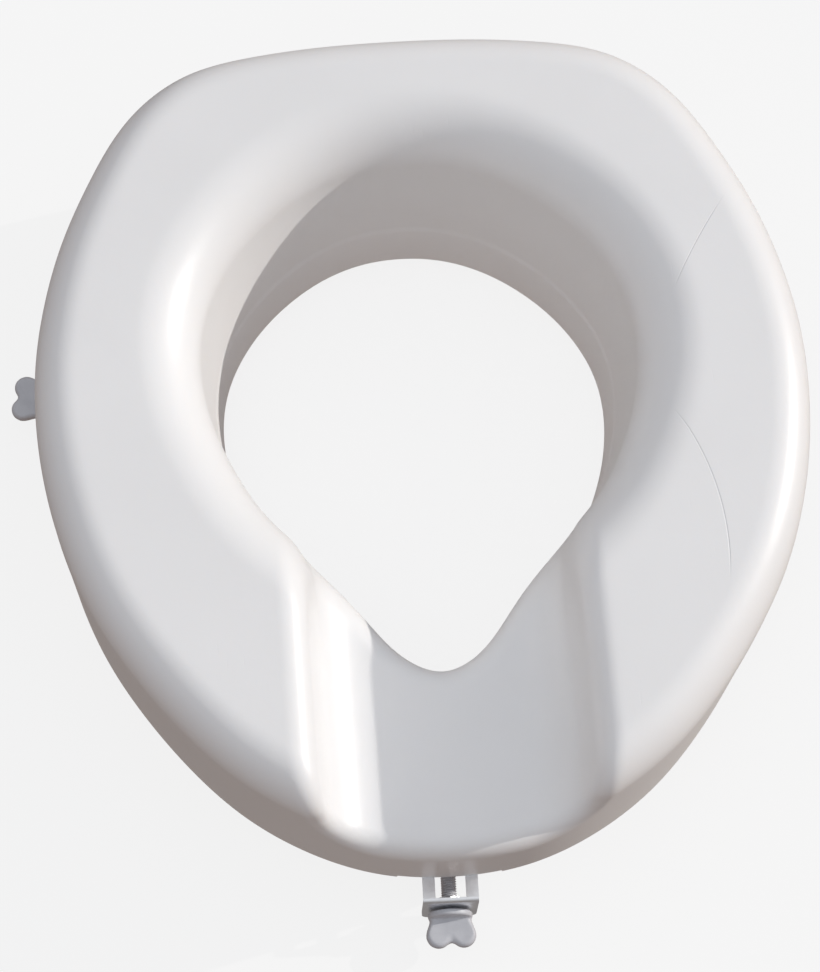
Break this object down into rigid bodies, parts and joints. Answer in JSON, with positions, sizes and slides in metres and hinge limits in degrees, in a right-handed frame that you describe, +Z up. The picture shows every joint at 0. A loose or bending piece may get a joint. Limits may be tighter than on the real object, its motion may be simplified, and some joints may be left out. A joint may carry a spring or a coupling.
{
  "type": "raised toilet seat",
  "caption": "Raised toilet seat: hollow moulded ring with an open centre and front hygiene recess, held to the bowl by adjustable clamp brackets with wing screws.",
  "frame": {"origin": "centre of the part's outer box, at the level of the lower edges of the bracket flanges, on which it stands", "axes": "+Z up, -Y to the front where the hygiene recess opens, X across the seat"},
  "size_m": [0.4364, 0.4676, 0.131],
  "materials": {
    "seat_plastic": "satin moulded polyethylene, fine orange peel",
    "pad_rubber": "matt rubber",
    "zinc_steel": "bright zinc plated steel strip",
    "nut_steel": "zinc plated weld nut",
    "knob_plastic": "light grey moulded nylon",
    "foot_rubber": "moulded rubber foot",
    "washer_plastic": "moulded nylon",
    "screw_steel": "zinc plated steel",
    "brass": "knurled brass"
  },
  "bodies": {
    "root": {"seat_shell": "seat_plastic", "rim_pads": "pad_rubber", "front_guide_washer": "washer_plastic", "front_clamp_screw": "screw_steel", "front_threaded_insert": "brass", "left_guide_washer": "washer_plastic", "left_clamp_screw": "screw_steel", "left_threaded_insert": "brass", "right_guide_washer": "washer_plastic", "right_clamp_screw": "screw_steel", "right_threaded_insert": "brass"},
    "front_bracket": {"front_strap": "zinc_steel", "front_flange_nut": "nut_steel"},
    "front_foot": {"front_pressure_foot": "foot_rubber"},
    "front_screw": {"front_wing_screw": "knob_plastic"},
    "left_bracket": {"left_strap": "zinc_steel", "left_flange_nut": "nut_steel"},
    "left_foot": {"left_pressure_foot": "foot_rubber"},
    "left_screw": {"left_wing_screw": "knob_plastic"},
    "right_bracket": {"right_strap": "zinc_steel", "right_flange_nut": "nut_steel"},
    "right_foot": {"right_pressure_foot": "foot_rubber"},
    "right_screw": {"right_wing_screw": "knob_plastic"}
  },
  "joints": [
    {"name": "front_bracket_slide", "type": "slide", "parent": "root", "child": "front_bracket", "axis": [-0.0297, -0.9996, 0], "range_m": [-0.01, 0.015]},
    {"name": "front_foot_advance", "type": "slide", "parent": "front_bracket", "child": "front_foot", "axis": [0.0297, 0.9996, 0], "range_m": [-0.02, 0.00094]},
    {"name": "front_screw_turn", "type": "hinge", "parent": "front_foot", "child": "front_screw", "pos_m": [-0.0036, -0.21435, 0.015], "axis": [0.0297, 0.9996, 0], "range_deg": [-5761, 271]},
    {"name": "left_bracket_slide", "type": "slide", "parent": "root", "child": "left_bracket", "axis": [-0.9877, 0.1564, 0], "range_m": [-0.004, 0.015]},
    {"name": "left_foot_advance", "type": "slide", "parent": "left_bracket", "child": "left_foot", "axis": [0.9877, -0.1564, 0], "range_m": [-0.02, 0.00094]},
    {"name": "left_screw_turn", "type": "hinge", "parent": "left_foot", "child": "left_screw", "pos_m": [-0.1982, 0.08105, 0.015], "axis": [0.9877, -0.1564, 0], "range_deg": [-5761, 271]},
    {"name": "right_bracket_slide", "type": "slide", "parent": "root", "child": "right_bracket", "axis": [0.9877, 0.1564, 0], "range_m": [-0.004, 0.015]},
    {"name": "right_foot_advance", "type": "slide", "parent": "right_bracket", "child": "right_foot", "axis": [-0.9877, -0.1564, 0], "range_m": [-0.02, 0.00094]},
    {"name": "right_screw_turn", "type": "hinge", "parent": "right_foot", "child": "right_screw", "pos_m": [0.1982, 0.08105, 0.015], "axis": [-0.9877, -0.1564, 0], "range_deg": [-5761, 271]}
  ],
  "couplings": [
    {"joint": "front_screw_turn", "follows": "front_foot_advance", "rad_per_m": 5026.5},
    {"joint": "left_screw_turn", "follows": "left_foot_advance", "rad_per_m": 5026.5},
    {"joint": "right_screw_turn", "follows": "right_foot_advance", "rad_per_m": 5026.5}
  ]
}
